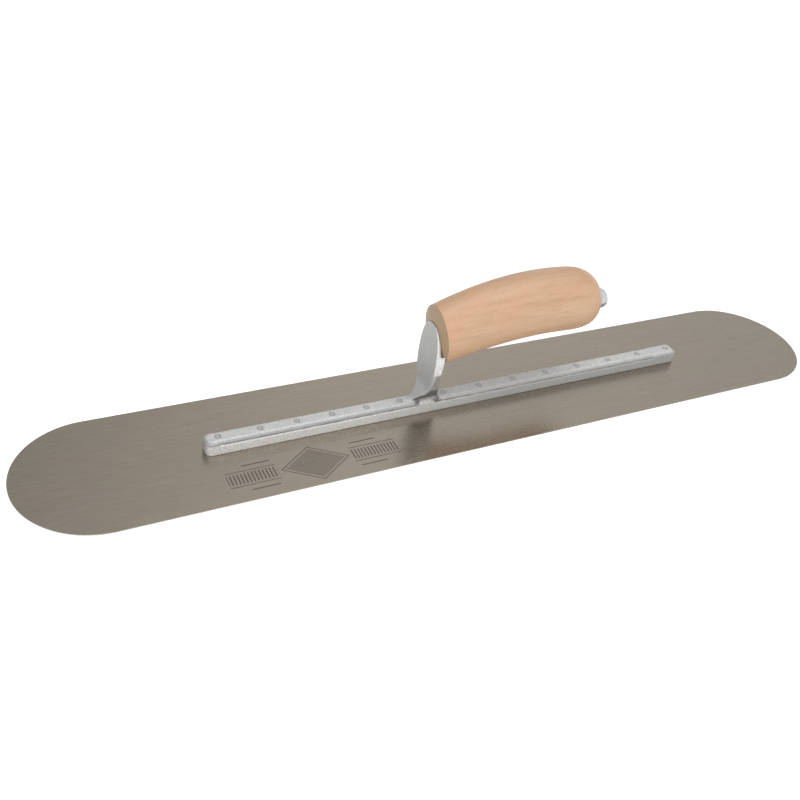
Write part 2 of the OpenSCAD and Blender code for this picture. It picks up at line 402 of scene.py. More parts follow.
def tip_into(bm, x0, x1, radius):
    """The end of an arm, where the groove runs out and rib and flange share one side."""
    half = FLANGE_WIDTH / 2
    lip = FLANGE_TOP + 0.2
    levels = [(FLANGE_TOP - 1.5, 0.05), (lip, 0.15)]
    levels += shoulder_levels(lip, half - RIB_FLAT / 2)
    bar_levels_into(bm, x0, x1, half, (radius, radius), levels)


def plate_half(z):
    """Half width of the upright plate at a height."""
    narrow = RIB_FLAT / 2
    if z <= PLATE_FOOT:
        return narrow
    if z < PLATE_WAIST:
        u = (z - PLATE_FOOT) / (PLATE_WAIST - PLATE_FOOT)
        return narrow + (PLATE_HALF - narrow) * (1 - (1 - u) ** FLARE_POWER)
    u = min(1.0, (z - PLATE_WAIST) / (PLATE_TOP - PLATE_WAIST))
    return PLATE_HALF * (1 - u**PLATE_POWER) ** (1 / PLATE_POWER)


def land_x(z):
    """x of the flat in the middle of the wood's front face."""
    return FACE_X - FACE_CROWN - SLOPE * (z - FACE_Z)


def plate_stations():
    """Places up the plate: (x, z, direction of its depth, half width, depth)."""
    stations = []
    for degrees in range(-90, 1, 5):
        a = math.radians(degrees)
        x = BEND_X + BEND_RADIUS * math.cos(a)
        z = BEND_Z + BEND_RADIUS * math.sin(a)
        stations.append((x, z, (math.cos(a), math.sin(a)), plate_half(z), PLATE_THICKNESS))
    thicker = 0.4
    steps = 14
    for i in range(1, steps + 1):
        z = BEND_Z + (PLATE_WAIST - BEND_Z) * i / steps
        depth = PLATE_THICKNESS + thicker * i / steps
        stations.append((PLATE_FACE, z, (1, 0), plate_half(z), depth))
    # The last ring stops just short of the top, so that it still has an area.
    steps = 26
    for i in range(1, steps + 1):
        z = PLATE_WAIST + (PLATE_TOP - PLATE_WAIST) * math.sin(math.radians(89 * i / steps))
        depth = min(PLATE_THICKNESS + thicker, land_x(z) - PLATE_FACE)
        stations.append((PLATE_FACE, z, (1, 0), plate_half(z), depth))
    return stations


def plate_section(x, z, into, half, depth):
    """One ring of the plate: rounded front edges and sides that draw in to the rear."""
    edge = min(1.3, 0.45 * depth, 0.8 * half)
    rear = min(0.9, 0.25 * depth)
    corner = (0, 0.4, 0.8, 1.2, 1.57)
    side = [(half - edge * (1 - math.sin(a)), edge * (1 - math.cos(a))) for a in corner]
    side += [(half - rear, depth - 0.3), (half - rear - 0.3, depth)]
    loop = side + [(-y, d) for y, d in reversed(side)]
    return [(x + into[0] * d, y, z + into[1] * d) for y, d in loop]


def plate_into(bm):
    """The plate: one skin from the bend at its foot to its round top."""
    loft_into(bm, [plate_section(*station) for station in plate_stations()])


def boss_into(bm):
    """Thick block behind the plate. Its flat top is the ledge under the wood."""
    levels = (
        (BOSS_BOTTOM, BOSS_REAR - 1.6),
        (BOSS_BOTTOM + 1.5, BOSS_REAR - 0.6),
        (BOSS_TOP - 4, BOSS_REAR - 0.1),
        (BOSS_TOP, BOSS_REAR),
    )
    rings = []
    for z, rear in levels:
        outline = bar_outline(PLATE_FACE + FUSE, rear, plate_half(z) - 0.2, (1.0, 1.0), 4)
        rings.append([(x, y, z) for x, y in outline])
    loft_into(bm, rings)


def web_into(bm):
    """Brace under the boss and behind the bend. Its edges run into the parts around it."""
    radius = BEND_RADIUS + FUSE
    bend = [math.radians(a) for a in range(-60, 1, 10)]
    outline = [(BEND_X + BEND_RADIUS / 2, FLANGE_TOP - 2)]
    outline += [(BEND_X + radius * math.cos(a), BEND_Z + radius * math.sin(a)) for a in bend]
    outline += [
        (PLATE_FACE + FUSE, BOSS_BOTTOM + 1),
        (BOSS_REAR - 1.4, BOSS_BOTTOM + 1),
        (WEB_REAR - 0.8, BOSS_BOTTOM - 5.5),
        (WEB_REAR, BOSS_BOTTOM - 9),
        (WEB_REAR, RIB_TOP + 1),
        (RIB_GAP[1] + FUSE, RIB_TOP - 1),
        (RIB_GAP[1] + FUSE, FLANGE_TOP - 2),
    ]
    prism_into(bm, outline, WEB_HALF)


def sill_into(bm):
    """Low ridges left on the flange's edges where the ribs stop, beside the web."""
    outer, inner = FLANGE_WIDTH / 2 - 0.12, WEB_HALF + 0.9
    crest = [(x, SILL) for x in SILL_CREST]
    stations = [(SILL_ENDS[0], 0.2), *crest, (SILL_ENDS[1], 0.2)]
    for side in (-1, 1):
        rings = []
        for x, rise in stations:
            foot = ((inner, -1.0), (outer, -1.0))
            section = (*foot, (outer, 0.25 * rise), (inner + 0.4, rise), (inner, rise))
            rings.append([(x, side * y, FLANGE_TOP + z) for y, z in section])
        loft_into(bm, rings)


def roughen(piece):
    """Moves the skin in and out a little, as a casting's surface does."""
    normals = [vert.normal.copy() for vert in piece.data.vertices]
    moved = []
    for vert, normal in zip(piece.data.vertices, normals):
        where = vert.co / (LUMP_SIZE * MM)
        lift = noise.noise(where) + 0.5 * noise.noise(where * 2.7)
        moved.extend(vert.co + normal * (lift * LUMP_HEIGHT * MM))
    piece.data.vertices.foreach_set("co", moved)
    piece.data.update()


def build_mounting():
    """One casting: its parts are fused on a fine grid, which also rounds their joints."""
    bm = bmesh.new()
    flange_into(bm)
    tip_step = (FLANGE_WIDTH - RIB_WIDTH) / 2
    rib_into(bm, BAR_LOW.x + tip_step, RIB_GAP[0] + 1.0)
    rib_into(bm, RIB_GAP[1], BAR_HIGH.x - tip_step)
    tip_into(bm, BAR_LOW.x, GROOVE_ENDS[0], FRONT_TIP_RADIUS)
    tip_into(bm, GROOVE_ENDS[1], BAR_HIGH.x, REAR_TIP_RADIUS)
    plate_into(bm)
    boss_into(bm)
    web_into(bm)
    sill_into(bm)
    rod_into(bm, SPIGOT_DIAMETER / 2, -SOCKET_DEPTH, SPIGOT_LENGTH, 48)
    piece = add_object("mounting_casting", bm)
    remesh = piece.modifiers.new("fuse", "REMESH")
    remesh.mode = "VOXEL"
    remesh.voxel_size = VOXEL * MM
    smooth = piece.modifiers.new("soften", "SMOOTH")
    smooth.factor = 0.5
    smooth.iterations = 2
    apply_modifiers(piece)
    roughen(piece)
    thin = piece.modifiers.new("thin", "DECIMATE")
    thin.ratio = KEPT_SHARE
    apply_modifiers(piece)
    cut(piece, axis_rod(STUD_DIAMETER / 2 + 0.02, -SOCKET_DEPTH + 0.05, SPIGOT_LENGTH + 3))
    cut(piece, rivet_drills())
    return shade(piece, 50)


def rivet_drills():
    """Cutters for all the rivet holes, in one object."""
    bm = bmesh.new()
    for node in RIVETS:
        rings = []
        for z in (BLADE_TOP - 2, RIB_TOP + 3):
            outline = circle_points(rivet_x(node), RIVET_RADIUS + 0.1, 32)
            rings.append([(x, y, z) for x, y in outline])
        loft_into(bm, rings)
    return add_object("cutter", bm)


# ---------------------------------------------------------------- handle


def meet(height, place, fall, s, lean):
    """Height where the line x = s - lean (z - FACE_Z) meets a parabola."""
    d = s - place
    a = fall * lean * lean
    b = 1 - 2 * fall * d * lean
    c = fall * d * d - (height - FACE_Z)
    return FACE_Z - 2 * c / (b + math.sqrt(b * b - 4 * a * c))


def underside(s, lean):
    """Height of the grip's underside, which runs straight in its front part."""
    curved = meet(BELLY_HEIGHT, BELLY_PLACE, BELLY_FALL, s, lean)
    if s - lean * (curved - FACE_Z) >= BELLY_STRAIGHT:
        return curved
    reach = BELLY_PLACE - BELLY_STRAIGHT
    rise = 2 * BELLY_FALL * reach
    start = BELLY_HEIGHT - BELLY_FALL * reach**2
    return (start + rise * (s + lean * FACE_Z - BELLY_STRAIGHT)) / (1 + lean * rise)


def closing(s):
    """Share of its full section that the grip keeps at s, as its butt rounds off."""
    if s <= ROUND_START:
        return 1.0
    u = (s - ROUND_START) / (BUTT_X - ROUND_START)
    return (1 - u**ROUND_POWER) ** (1 / ROUND_POWER)


def grip_half(s):
    """Half width of the grip, which swells from its front face to its middle."""
    t = min(1.0, max(0.0, (s - FACE_X) / SWELL_RUN))
    return FRONT_HALF + (MIDDLE_HALF - FRONT_HALF) * math.sin(math.radians(90 * t))


def grip_ring(s, share=1.0, ahead=0.0, inset=0.0):
    """One oval section of the grip. Sections near the front lean with its front face.

    share shrinks the section, inset draws its outline in and ahead moves it forwards.
    """
    lean = SLOPE * min(1.0, max(0.0, 1 - (s - FACE_X) / LEAN_RUN))
    top = meet(CROWN_HEIGHT, CROWN_PLACE, CROWN_FALL, s, lean)
    low = underside(s, lean)
    close = closing(s)
    top = BUTT_Z + (top - BUTT_Z) * close
    low = BUTT_Z + (low - BUTT_Z) * close
    middle = (top + low) / 2
    tall = (top - low) / 2 * share - inset
    wide = grip_half(s) * close * share - inset
    points = []
    for a in full_turn(GRIP_POINTS):
        z = middle + tall * math.cos(a)
        points.append((s - lean * (z - FACE_Z) - ahead, wide * math.sin(a), z))
    return points


def grip_rings():
    """Front face with a fine groove inside its edge, then the body and the rounded butt."""
    edge = 0.4
    rings = [grip_ring(FACE_X, LAND_SHARE * k, FACE_CROWN) for k in (0.35, 0.7, 1.0)]
    for share in (0.75, 0.88):
        rings.append(grip_ring(FACE_X, share, FACE_CROWN * (1 - share) / (1 - LAND_SHARE)))
    steps = 5
    for i in range(steps + 1):
        back = edge * (1 - math.sin(math.radians(25 + 65 * i / steps)))
        rings.append(grip_ring(FACE_X + back, inset=back))
    steps = 40
    for i in range(1, steps + 1):
        rings.append(grip_ring(FACE_X + edge + (ROUND_START - FACE_X - edge) * i / steps))
    # The last ring stops just short of the butt, so that it still has an area.
    steps = 34
    for i in range(1, steps + 1):
        a = math.radians(88.8 * i / steps)
        rings.append(grip_ring(ROUND_START + (BUTT_X - ROUND_START) * math.sin(a)))
    return rings


def notch_cutter():
    """The step cut in the wood to clear the boss."""
    bm = bmesh.new()
    rear = BOSS_REAR + 0.15
    low, high = BOSS_BOTTOM - 5, BOSS_TOP + 0.05
    prism_into(bm, [(rear - 12, low), (rear, low), (rear, high), (rear - 12, high)], MIDDLE_HALF + 4)
    return add_object("cutter", bm)


def build_handle():
    """The grip with its notch, its stepped bore and the seat for the washer."""
    bm = bmesh.new()
    loft_into(bm, grip_rings())
    piece = add_object("handle_grip", bm)
    ahead = -8
    cut(piece, notch_cutter())
    cut(piece, axis_rod(SPIGOT_DIAMETER / 2 + 0.1, ahead, SPIGOT_LENGTH + 1))
    cut(piece, axis_rod(STUD_DIAMETER / 2 + 0.2, ahead, GRIP_LENGTH + 4))
    cut(piece, axis_rod(WASHER_DIAMETER / 2 + 0.4, GRIP_LENGTH, GRIP_LENGTH + 20))
    return shade(piece, 32)


# ---------------------------------------------------------------- fasteners


def build_washer():
    """Flat ring with softened edges, in its seat in the butt."""
    outer, inner = WASHER_DIAMETER / 2, STUD_DIAMETER / 2 + 0.25
    edge, thick = 0.25, WASHER_THICKNESS
    bm = bmesh.new()
    profile = (
        (inner, edge),
        (inner + edge, 0.0),
        (outer - edge, 0.0),
        (outer, edge),
        (outer, thick - edge),
        (outer - edge, thick),
        (inner + edge, thick),
        (inner, thick - edge),
    )
    ring_lathe_into(bm, profile, 96)
    bmesh.ops.transform(bm, matrix=on_axis(GRIP_LENGTH), verts=bm.verts)
    return shade(add_object("washer_ring", bm), 60)


def hex_radius(angle):
    """Distance from a hexagon's middle to its side in a direction."""
    sector = math.radians(60)
    return NUT_FLATS / 2 / math.cos((angle + sector / 2) % sector - sector / 2)


def build_nut():
    """Closed hexagon nut: the cone that bevels its corners leaves a curve on each flat."""
    angles = full_turn(144)
    half = NUT_FLATS / 2
    bevel = math.tan(math.radians(30))

    def hex_ring(inset, height, lean):
        """A ring near the hexagon. lean bends it up (1) or down (-1) at the corners."""
        radii = [hex_radius(a) - inset for a in angles]
        rises = [lean * bevel * (hex_radius(a) - half) for a in angles]
        return [(r * math.cos(a), r * math.sin(a), height + up) for r, up, a in zip(radii, rises, angles)]

    def round_ring(radius, height):
        """A round ring on the nut's axis."""
        return [(radius * math.cos(a), radius * math.sin(a), height) for a in angles]

    dome_radius, dome_foot = half - 0.35, NUT_HEX + 0.1
    rings = [
        round_ring(half - 0.4, 0.0),
        hex_ring(0.12, 0.12, 1),
        hex_ring(0.0, 0.24, 1),
        hex_ring(0.0, NUT_HEX - 0.2, -1),
        hex_ring(0.14, NUT_HEX - 0.08, -1),
        round_ring(dome_radius, dome_foot),
    ]
    steps = 12
    for i in range(1, steps):
        t = math.radians(90 * i / steps)
        height = dome_foot + (NUT_LENGTH - dome_foot) * math.sin(t)
        rings.append(round_ring(dome_radius * math.cos(t), height))
    bm = bmesh.new()
    loft_into(bm, rings)
    bmesh.ops.transform(bm, matrix=on_axis(GRIP_LENGTH + WASHER_THICKNESS), verts=bm.verts)
    return shade(add_object("cap_nut_hex", bm), 28)


def build_rivet(node):
    """Solid rivet, ground flush at both ends, with a faint dish where it was headed."""
    r, head, top = RIVET_RADIUS, RIVET_HEAD, RIB_TOP
    profile = (
        (0, 0),
        (head * 0.6, 0),
        (head - 0.05, 0),
        (head, 0.05),
        (r, BLADE_TOP),
        (r, top - 0.12),
        (r - 0.15, top + 0.02),
        (r - 0.5, top),
        (r * 0.4, top - 0.1),
        (0, top - 0.12),
    )
    bm = bmesh.new()
    lathe_into(bm, profile, 40)
    bmesh.ops.translate(bm, vec=(rivet_x(node), 0, 0), verts=bm.verts)
    return shade(add_object(node + "_set", bm), 40)


# ---------------------------------------------------------------- materials


class Nodes:
    """One material's node tree. Each method adds a node and returns what comes out of it."""

    def __init__(self, name):
        self.material = bpy.data.materials.new(name)
        self.material.use_nodes = True
        self.tree = self.material.node_tree
        self.shader = self.tree.nodes["Principled BSDF"]

    def put(self, socket, value):
        """Links a node's output to the socket, or sets the socket to a plain value."""
        if isinstance(value, bpy.types.NodeSocket):
            self.tree.links.new(value, socket)
        else:
            socket.default_value = value

    def add(self, kind, settings=None, **inputs):
        """A node with its inputs given by name, or by number as i0, i1 and so on."""
        node = self.tree.nodes.new(kind)
        for key, value in (settings or {}).items():
            setattr(node, key, value)
        for key, value in inputs.items():
            index = int(key[1:]) if key[0] == "i" and key[1:].isdigit() else key.replace("_", " ")
            self.put(node.inputs[index], value)
        return node

    def math(self, operation, a, b=0.0):
        return self.add("ShaderNodeMath", {"operation": operation}, i0=a, i1=b).outputs[0]

    def place(self, scale=(1, 1, 1), turn=(0, 0, 0)):
        """Coordinates of the surface in metres, turned and stretched."""
        where = self.add("ShaderNodeTexCoord").outputs["Object"]
        return self.add("ShaderNodeMapping", Vector=where, Scale=scale, Rotation=turn).outputs[0]

    def parts(self, vector):
        """The three parts of a vector."""
        return self.add("ShaderNodeSeparateXYZ", Vector=vector).outputs

    def place_mm(self):
        """The three coordinates of the surface in millimetres."""
        axes = self.parts(self.add("ShaderNodeTexCoord").outputs["Object"])
        return [self.math("DIVIDE", axes[i], MM) for i in range(3)]

    def facing(self):
        """The three parts of the direction that the surface faces."""
        return self.parts(self.add("ShaderNodeNewGeometry").outputs["Normal"])

    def noise(self, where, scale, detail=3.0, rough=0.55):
        inputs = {"Scale": scale, "Detail": detail, "Roughness": rough}
        return self.add("ShaderNodeTexNoise", Vector=where, **inputs).outputs["Fac"]

    def spread(self, value, low, high, to_low=0.0, to_high=1.0):
        """Maps low to to_low and high to to_high, and holds the value beyond them."""
        node = self.add("ShaderNodeMapRange", Value=value)
        for index, number in zip((1, 2, 3, 4), (low, high, to_low, to_high)):
            node.inputs[index].default_value = number
        return node.outputs[0]

    def band(self, value, low, high, soft):
        """1 while a value lies between low and high, with soft ends."""
        off = self.math("ABSOLUTE", self.math("SUBTRACT", value, (low + high) / 2))
        return self.spread(off, (high - low) / 2, (high - low) / 2 + soft, 1.0, 0.0)

    def all_of(self, *masks):
        """Product of several masks."""
        result = masks[0]
        for mask in masks[1:]:
            result = self.math("MULTIPLY", result, mask)
        return result

    def any_of(self, *masks):
        """Greatest of several masks."""
        result = masks[0]
        for mask in masks[1:]:
            result = self.math("MAXIMUM", result, mask)
        return result

    def ramp(self, value, *stops):
        """A colour from stops of (position, colour)."""
        node = self.add("ShaderNodeValToRGB", Fac=value)
        points = node.color_ramp.elements
        while len(points) < len(stops):
            points.new(0.5)
        for point, (place, colour) in zip(points, stops):
            point.position = place
            point.color = (*colour, 1)
        return node.outputs[0]

    def mix(self, amount, a, b):
        """Colour a where the amount is 0 and colour b where it is 1."""
        node = self.add("ShaderNodeMix", {"data_type": "RGBA"})
        self.put(node.inputs[0], amount)
        for index, value in ((6, a), (7, b)):
            self.put(node.inputs[index], (*value, 1) if isinstance(value, tuple) else value)
        return node.outputs[2]

    def bump(self, height, strength, distance):
        node = self.add("ShaderNodeBump", Height=height, Strength=strength, Distance=distance)
        return node.outputs[0]

    def finish(self, **sockets):
        """Fills the shader's sockets and returns the material."""
        for key, value in sockets.items():
            self.put(self.shader.inputs[key.replace("_", " ")], value)
        return self.material


def etched_mark(n):
    """A plain etched pattern: a hatched diamond between rows of bars. 1 on its lines."""
    middle_x, middle_y = -128.0, -31.0
    diamond_x, diamond_y = 23.0, 16.0
    row_x, row_half = 41.0, 16.0
    place = n.place_mm()
    x = n.math("SUBTRACT", place[0], middle_x)
    y = n.math("SUBTRACT", place[1], middle_y)
    far_x, far_y = n.math("ABSOLUTE", x), n.math("ABSOLUTE", y)

    def block(centre_x, half_x, centre_y, half_y):
        """A rectangle, repeated on both sides of the mark's middle."""
        off_x = n.math("ABSOLUTE", n.math("SUBTRACT", far_x, centre_x))
        off_y = n.math("ABSOLUTE", n.math("SUBTRACT", far_y, centre_y))
        return n.all_of(n.math("LESS_THAN", off_x, half_x), n.math("LESS_THAN", off_y, half_y))

    def stripes(value, pitch, share):
        """Lines across a value, each as wide as a share of their pitch."""
        return n.math("LESS_THAN", n.math("FRACT", n.math("DIVIDE", value, pitch)), share)

    reach = n.math("ADD", n.math("DIVIDE", far_x, diamond_x), n.math("DIVIDE", far_y, diamond_y))
    inside = n.math("LESS_THAN", reach, 0.86)
    rim = n.math("SUBTRACT", n.math("LESS_THAN", reach, 1.0), n.math("LESS_THAN", reach, 0.95))
    hatch = n.all_of(inside, stripes(n.math("ADD", x, y), 1.5, 0.5))
    bars = n.all_of(block(row_x, row_half, 0.0, 4.4), stripes(n.math("ADD", x, 200.0), 2.3, 0.4))
    rules = n.any_of(block(row_x, row_half, 6.4, 0.3), block(36.0, 9.0, 11.0, 0.45))
    marks = n.any_of(rim, hatch, bars, rules)
    return n.all_of(marks, n.math("GREATER_THAN", n.facing()[2], 0.5))


def blade_steel():
    """Warm grey ground steel with fine lengthwise streaks and faint cloudy patches."""
    n = Nodes("ground_steel")
    fine = n.noise(n.place(scale=(70, 2400, 300)), 1.0, 5.0, 0.65)
    broad = n.noise(n.place(scale=(8, 520, 50)), 1.0, 3.0)
    cloud = n.noise(n.place(scale=(14, 26, 26)), 1.0, 3.0)
    speck = n.spread(n.noise(n.place(), 620.0, 1.0), 0.80, 0.86)
    tone = n.math("ADD", n.math("MULTIPLY", fine, 0.75), n.math("MULTIPLY", broad, 0.25))
    colour = n.ramp(tone, (0.30, (0.284, 0.244, 0.197)), (0.70, (0.380, 0.336, 0.280)))
    colour = n.mix(n.spread(cloud, 0.35, 0.7, 0.0, 0.35), colour, (0.299, 0.271, 0.223))
    colour = n.mix(n.math("MULTIPLY", speck, 0.5), colour, (0.09, 0.075, 0.06))
    mark = etched_mark(n)
    colour = n.mix(n.math("MULTIPLY", mark, 0.72), colour, (0.055, 0.048, 0.042))
    # Painted highlight: the blade's edges, which face sideways, are painted paler.
    flat = n.math("ABSOLUTE", n.facing()[2])
    colour = n.mix(n.spread(flat, 0.3, 0.85, 0.8, 0.0), colour, (0.60, 0.585, 0.56))
    rough = n.math("ADD", n.spread(fine, 0.3, 0.7, 0.23, 0.31), n.math("MULTIPLY", mark, 0.25))
    normal = n.bump(fine, 0.05, 0.00004)
    return n.finish(Base_Color=colour, Metallic=0.93, Roughness=rough, Normal=normal)


def casting_marks(n):
    """Masks on the casting: painted shade in its creases, web and shoulder; paler faces, partly painted
    light.
    """
    x, y, z = n.place_mm()
    facing = n.facing()
    front, rear = RIB_GAP
    sideways = n.spread(n.math("ABSOLUTE", facing[1]), 0.35, 0.7)
    sill = n.band(x, front - 0.4, rear - 3.9, 1.2)

    # Painted shade: patchy in the groove, ragged in the pocket behind the bend and at the ribs' ends.
    patch = n.spread(n.noise(n.place(scale=(120, 900, 900)), 1.0, 3.0), 0.35, 0.6, 0.35, 1.0)
    groove_height = n.band(z, FLANGE_TOP, FLANGE_TOP + 0.45, 0.35)
    off_sill = n.math("SUBTRACT", 1.0, sill)
    groove = n.all_of(groove_height, patch, off_sill, n.band(x, *GROOVE_ENDS, 3.0))
    ragged = n.math("MULTIPLY", n.noise(n.place(), 420.0, 3.0), 1.8)
    lifted = n.math("ADD", z, ragged)
    pocket = n.all_of(n.band(x, front - 3.5, rear - 1.0, 2.5), n.band(lifted, 12.2, 16.0, 1.6), sideways)
    front_gap = n.all_of(n.band(x, front - 2.4, front, 0.8), n.band(lifted, 9.4, 11.6, 0.6))
    rear_gap = n.all_of(n.band(x, rear - 0.9, rear + 0.7, 0.6), n.band(z, 8.0, 9.8, 0.4))
    gaps = n.math("MULTIPLY", n.any_of(front_gap, rear_gap), 0.8)
    painted_shade = n.any_of(groove, pocket, gaps)

    # Painted shade on the web's sides, brown-grey.
    slim = n.spread(n.math("ABSOLUTE", y), WEB_HALF + 0.3, WEB_HALF + 0.9, 1.0, 0.0)
    web_height = n.band(z, 12.0, BOSS_BOTTOM - 1.5, 1.5)
    web_shade = n.all_of(slim, sideways, web_height, n.band(x, PLATE_FACE - 1.5, WEB_REAR + 8.0, 1.0))

    # Paler faces: raw metal on the sides of the boss and plate and on the rib's top.
    # Painted light: the flange's side up to the gap, fading from the front arm to the rear, and the
    # ridges.
    flange_height = n.band(z, 0.0, FLANGE_TOP - 0.3, 0.4)
    side = n.all_of(sideways, flange_height, n.spread(x, -90.0, 30.0, 1.0, 0.0))
    upper = n.all_of(sideways, n.band(z, BOSS_BOTTOM + 1.5, PLATE_TOP, 1.5))
    ridge_height = n.band(z, FLANGE_TOP - 0.1, FLANGE_TOP + SILL - 0.3, 0.3)
    ridge = n.math("MULTIPLY", n.all_of(sill, sideways, ridge_height), 0.55)
    top_height = n.band(z, RIB_TOP - 0.6, RIB_TOP + 0.6, 0.3)
    flat = n.all_of(n.spread(facing[2], 0.8, 0.95, 0.0, 0.3), top_height)
    raw_and_lit = n.any_of(side, upper, ridge, flat)

    # Painted shade on the rib's shoulder, strongest on the front arm.
    shoulder = n.all_of(n.band(z, FLANGE_TOP + 0.7, RIB_TOP - 0.7, 0.5), n.band(y, -6.0, 6.0, 0.3))
    wear_and_shade = n.all_of(shoulder, n.spread(x, -60.0, -40.0, 1.0, 0.5))
    return painted_shade, web_shade, raw_and_lit, wear_and_shade


def cast_aluminium():
    """Pale matt casting: fine grain, small pits, paler faces, painted shade in hollows and painted light.
    """
    n = Nodes("cast_aluminium")
    where = n.place()
    grain = n.noise(where, 1000.0, 4.0, 0.7)
    lumps = n.noise(where, 330.0, 3.0)
    cloud = n.noise(where, 70.0, 2.0)
    pits = n.add("ShaderNodeTexVoronoi", Vector=where, Scale=520.0).outputs["Distance"]
    pit = n.spread(pits, 0.05, 0.22, 1.0, 0.0)
    painted_shade, web_shade, raw_and_lit, wear_and_shade = casting_marks(n)
    colour = n.ramp(grain, (0.3, (0.31, 0.315, 0.31)), (0.72, (0.53, 0.535, 0.525)))
    colour = n.mix(n.spread(cloud, 0.35, 0.7, 0.0, 0.4), colour, (0.42, 0.43, 0.435))
    paler_tone = n.ramp(grain, (0.3, (0.46, 0.455, 0.445)), (0.72, (0.88, 0.87, 0.855)))
    # Paler faces: partly raw metal, partly painted light.
    colour = n.mix(n.math("MULTIPLY", raw_and_lit, 0.85), colour, paler_tone)
    # Painted shade: the rib's shoulder is painted darker.
    colour = n.mix(n.math("MULTIPLY", wear_and_shade, 0.55), colour, (0.25, 0.245, 0.26))
    colour = n.mix(n.math("MULTIPLY", pit, 0.45), colour, (0.19, 0.19, 0.185))
    # Painted shade: the web's sides are painted brown-grey.
    colour = n.mix(n.math("MULTIPLY", web_shade, 0.55), colour, (0.21, 0.175, 0.14))
    # Painted shade: concave creases and the painted shade masks are painted near black.
    crease = n.add("ShaderNodeNewGeometry").outputs["Pointiness"]
    crease_shade = n.spread(crease, 0.40, 0.485, 0.7, 0.0)
    colour = n.mix(n.any_of(crease_shade, n.math("MULTIPLY", painted_shade, 0.8)), colour, (0.085, 0.08, 0.07))
    rough = n.spread(grain, 0.3, 0.7, 0.62, 0.50)
    height = n.math("SUBTRACT", n.math("ADD", grain, n.math("MULTIPLY", lumps, 1.6)), pit)
    normal = n.bump(height, 0.85, 0.0002)
    return n.finish(Base_Color=colour, Metallic=0.45, Roughness=rough, Normal=normal)


def beech():
    """Pale turned hardwood. The grain is solid, so the front face shows end grain."""
    n = Nodes("beech")
    turn = (0, TILT, 0)
    pith_y, pith_z = 0.045, -0.030
    ring_pitch = 0.0026
    long = n.place(turn=turn)
    warp = n.noise(n.place(turn=turn, scale=(7, 30, 30)), 1.0, 2.0)
    axes = n.parts(long)
    offsets = (n.math("SUBTRACT", axes[1], pith_y), n.math("SUBTRACT", axes[2], pith_z))
    squares = [n.math("POWER", offset, 2.0) for offset in offsets]
    radius = n.math("ADD", n.math("SQRT", n.math("ADD", *squares)), n.math("MULTIPLY", warp, 0.010))
    rings = n.math("SINE", n.math("MULTIPLY", radius, 2 * math.pi / ring_pitch))
    fibre = n.noise(n.place(turn=turn, scale=(90, 1500, 1500)), 1.0, 4.0, 0.65)
    streak = n.noise(n.place(turn=turn, scale=(18, 260, 260)), 1.0, 4.0)
    cloud = n.noise(long, 38.0, 3.0)
    grits = n.noise(n.place(turn=turn, scale=(380, 2300, 2300)), 1.0, 1.0)
    fleck = n.spread(grits, 0.64, 0.74)
    tone = n.math("ADD", n.spread(rings, -1.0, 1.0, -0.04, 0.04), n.spread(streak, 0.3, 0.7, 0.3, 0.7))
    tone = n.math("ADD", tone, n.spread(fibre, 0.3, 0.7, -0.22, 0.22))
    stops = (
        (0.05, (0.330, 0.196, 0.110)),
        (0.50, (0.418, 0.266, 0.158)),
        (0.95, (0.484, 0.322, 0.203)),
    )
    colour = n.ramp(tone, *stops)
    colour = n.mix(n.spread(cloud, 0.38, 0.62, 0.0, 0.6), colour, (0.45, 0.253, 0.152))
    colour = n.mix(n.math("MULTIPLY", fleck, 0.4), colour, (0.30, 0.155, 0.075))
    # The front end face is painted darker: the end grain's own darker colour together with painted shade.
    end = n.spread(n.facing()[0], -0.62, -0.82)
    colour = n.mix(n.math("MULTIPLY", end, 0.8), colour, (0.285, 0.208, 0.122))
    rough = n.spread(fibre, 0.3, 0.7, 0.42, 0.55)
    normal = n.bump(n.math("ADD", fibre, n.math("MULTIPLY", streak, 0.5)), 0.18, 0.0001)
    coat = {"Coat_Weight": 0.06, "Coat_Roughness": 0.4}
    return n.finish(Base_Color=colour, Roughness=rough, Normal=normal, **coat)


def plated_steel(name, pale, dark, roughness):
    """Plated or plain hardware: soft cloudy tone, scuffs and small scratches."""
    n = Nodes(name)
    where = n.place()
    cloud = n.noise(where, 260.0, 3.0)
    scuff = n.noise(n.place(scale=(300, 1900, 600)), 1.0, 4.0)
    colour = n.mix(n.spread(cloud, 0.3, 0.7), pale, dark)
    wear_and_shade = tuple(0.6 * part for part in dark)
    colour = n.mix(n.spread(scuff, 0.55, 0.8, 0.0, 0.35), colour, wear_and_shade)
    rough = n.spread(scuff, 0.3, 0.7, roughness - 0.06, roughness + 0.1)
    normal = n.bump(scuff, 0.12, 0.00006)
    return n.finish(Base_Color=colour, Metallic=0.95, Roughness=rough, Normal=normal)


